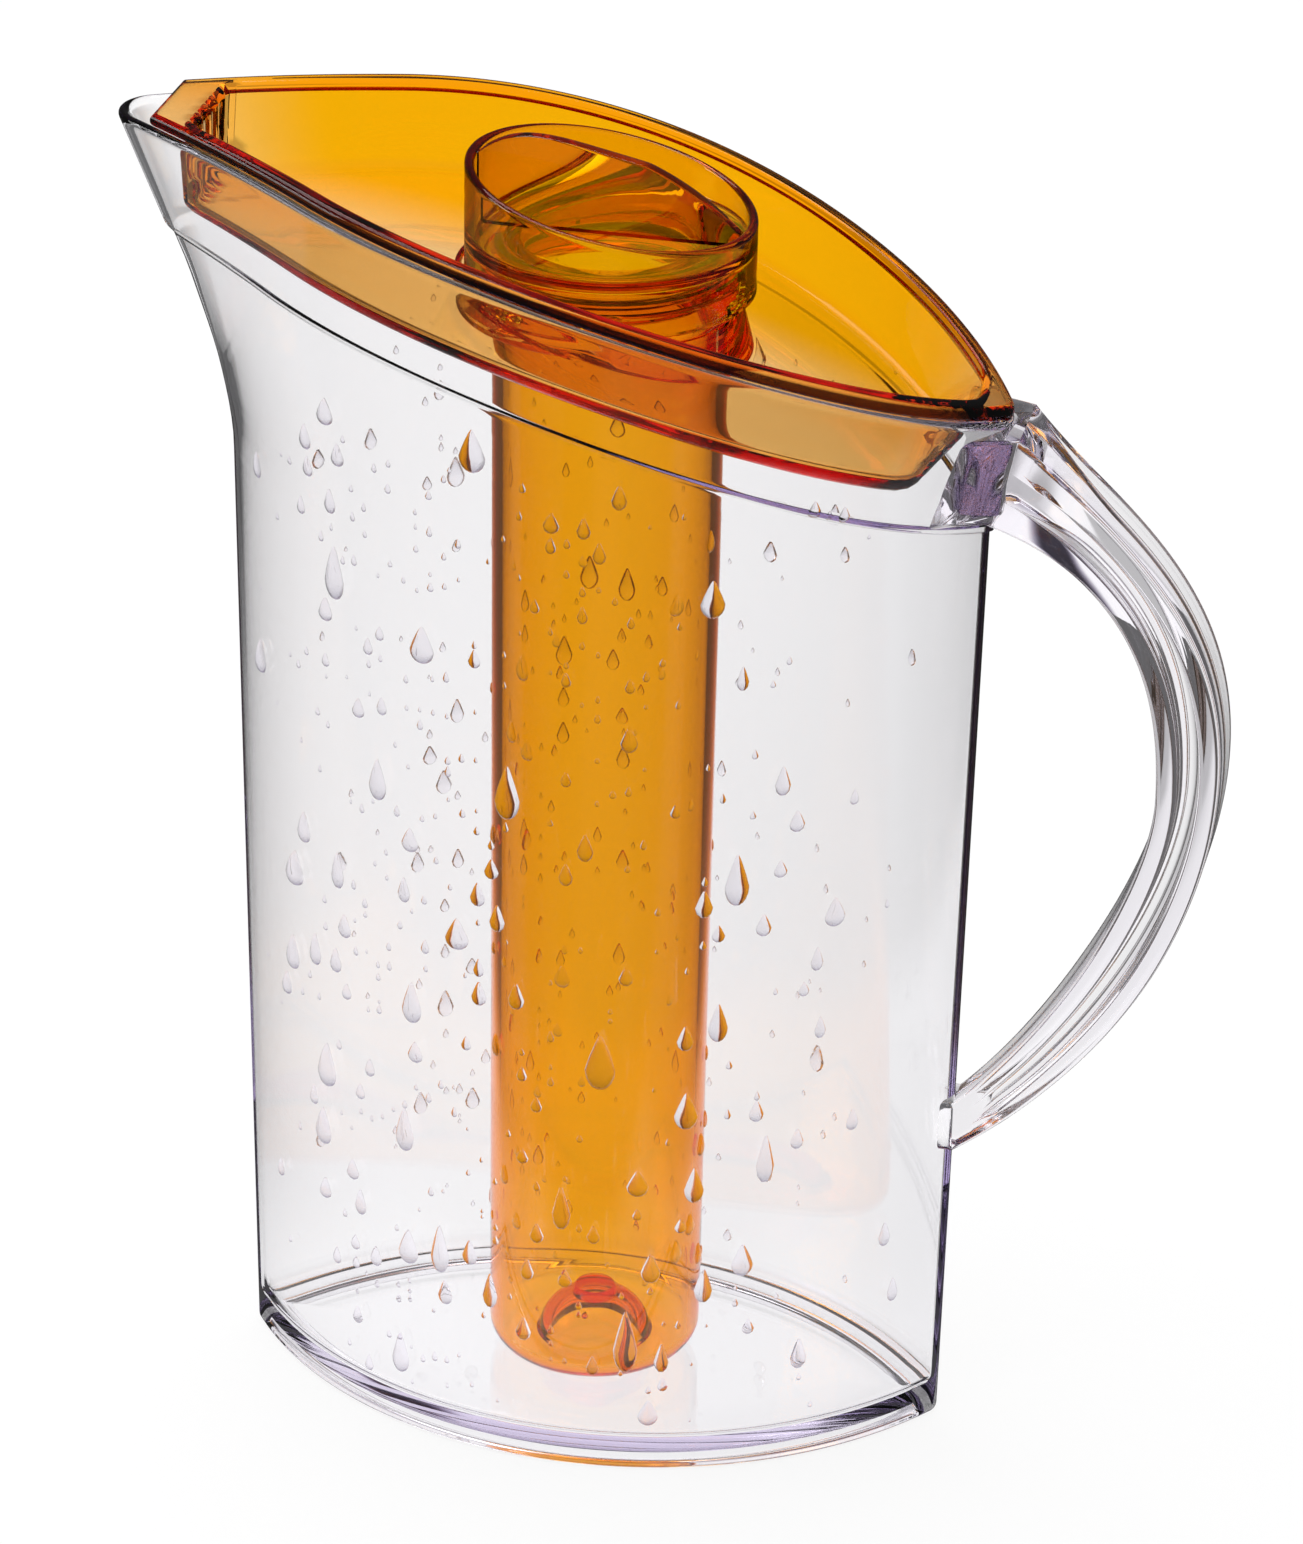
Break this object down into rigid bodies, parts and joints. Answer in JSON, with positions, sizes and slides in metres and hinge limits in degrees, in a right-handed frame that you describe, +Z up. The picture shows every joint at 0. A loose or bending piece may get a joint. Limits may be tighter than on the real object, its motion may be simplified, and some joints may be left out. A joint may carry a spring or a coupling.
{
  "type": "pitcher with ice core",
  "caption": "Clear lens-shaped pitcher with a pouring spout, a bonded handle, a dished lid on a sloping rim and a capped inner tube for ice.",
  "frame": {"origin": "on the table plane, under the axis of the ice tube", "axes": "+Z up along the ice tube, +X towards the handle, spout at -X, symmetric about the XZ plane"},
  "size_m": [0.2371, 0.1086, 0.2901],
  "materials": {
    "clear_plastic": "clear, polished",
    "orange_plastic": "tinted and see-through, polished",
    "silicone": "matte"
  },
  "bodies": {
    "jug": {"body_shell": "clear_plastic", "handle": "clear_plastic"},
    "lid": {"lid": "orange_plastic"},
    "core": {"core_tube": "orange_plastic"},
    "seal": {"cap_seal": "silicone"},
    "cap": {"core_cap": "orange_plastic"}
  },
  "joints": [
    {"name": "lid_lift", "type": "slide", "parent": "jug", "child": "lid", "axis": [0, 0, 1], "range_m": [0, 0.3]},
    {"name": "core_lift", "type": "slide", "parent": "lid", "child": "core", "axis": [0, 0, 1], "range_m": [0, 0.27]},
    {"name": "cap_rise", "type": "slide", "parent": "core", "child": "seal", "axis": [0, 0, 1], "range_m": [0, 0.0151]},
    {"name": "cap_turn", "type": "hinge", "parent": "seal", "child": "cap", "pos_m": [0, 0, 0.268], "axis": [0, 0, 1], "range_deg": [0, 360]}
  ],
  "couplings": [
    {"joint": "cap_rise", "follows": "cap_turn", "m_per_rad": 0.0023873}
  ]
}
